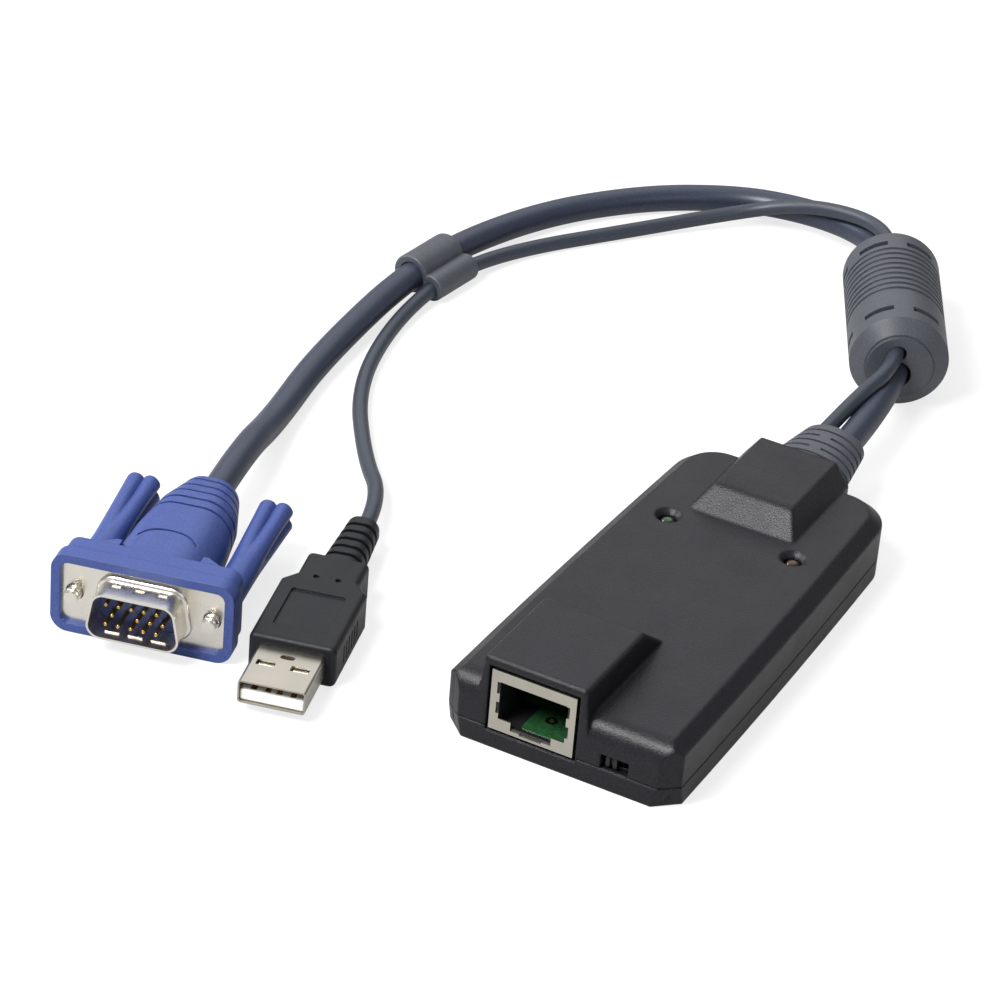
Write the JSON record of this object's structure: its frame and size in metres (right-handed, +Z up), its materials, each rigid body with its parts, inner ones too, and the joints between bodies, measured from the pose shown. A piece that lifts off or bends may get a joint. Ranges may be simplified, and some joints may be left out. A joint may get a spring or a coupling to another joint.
{
  "type": "keyboard, video and mouse adapter dongle",
  "caption": "Flat plastic interface box with a network jack at one end and, at the other, two cords through a ferrite barrel to a display plug with thumbscrews and a data plug.",
  "frame": {"origin": "centre of the case's box at its underside; the cords and what they carry are not counted", "axes": "+Z up, +Y along the case from the network jack toward the cords, +X to the right seen from the jack end"},
  "size_m": [0.1271, 0.2218, 0.0193],
  "materials": {
    "case_plastic": "fine grain charcoal",
    "zinc_steel": "zinc plated",
    "board_laminate": "green lacquer on laminate",
    "chip_epoxy": "black epoxy",
    "can_aluminium": "bright can",
    "natural_nylon": "natural nylon",
    "jack_nickel": "nickel plated sheet",
    "black_plastic": "black moulded",
    "contact_gold": "gold flash",
    "green_lens": "tinted clear",
    "amber_lens": "tinted clear",
    "switch_plastic": "off-white moulded",
    "cord_moulding": "satin blue-grey moulding",
    "ferrite": "sintered ceramic",
    "video_jacket": "satin dark blue-grey jacket",
    "data_jacket": "satin blue-grey jacket",
    "blue_moulding": "satin royal blue moulding",
    "plug_nickel": "nickel plate",
    "blue_insulator": "blue moulded",
    "white_plastic": "white moulded",
    "black_moulding": "satin black moulding"
  },
  "bodies": {
    "case_and_cords": {"upper_case": "case_plastic", "lower_case": "case_plastic", "case_screws": "zinc_steel", "circuit_board": "board_laminate", "jack_board": "board_laminate", "control_chip": "chip_epoxy", "side_chips": "chip_epoxy", "can_capacitors": "can_aluminium", "clock_crystal": "can_aluminium", "cable_header": "natural_nylon", "jack_shield": "jack_nickel", "jack_insulator": "black_plastic", "switch_body": "black_plastic", "jack_contacts": "contact_gold", "data_strips": "contact_gold", "display_pins": "contact_gold", "green_lamp": "green_lens", "amber_lamp": "amber_lens", "cable_boot": "cord_moulding", "ferrite_cover": "cord_moulding", "cable_clip": "cord_moulding", "ferrite_core": "ferrite", "video_cord": "video_jacket", "data_cord": "data_jacket", "display_hood": "blue_moulding", "display_shell": "plug_nickel", "data_shell": "plug_nickel", "display_insulator": "blue_insulator", "data_tongue": "white_plastic", "data_grip": "black_moulding"},
    "switch_knob_body": {"switch_knob": "switch_plastic"},
    "left_thumbscrew": {"left_thumb_grip": "blue_moulding", "left_thumb_pin": "plug_nickel"},
    "right_thumbscrew": {"right_thumb_grip": "blue_moulding", "right_thumb_pin": "plug_nickel"}
  },
  "joints": [
    {"name": "switch_slide", "type": "slide", "parent": "case_and_cords", "child": "switch_knob_body", "axis": [1, 0, 0], "range_m": [0, 0.002]},
    {"name": "left_thumbscrew_turn", "type": "hinge", "parent": "case_and_cords", "child": "left_thumbscrew", "pos_m": [-0.08942, -0.05653, 0.00789], "axis": [0.2334, -0.9724, 0], "continuous": true},
    {"name": "right_thumbscrew_turn", "type": "hinge", "parent": "case_and_cords", "child": "right_thumbscrew", "pos_m": [-0.06512, -0.05069, 0.00789], "axis": [0.2334, -0.9724, 0], "continuous": true}
  ]
}
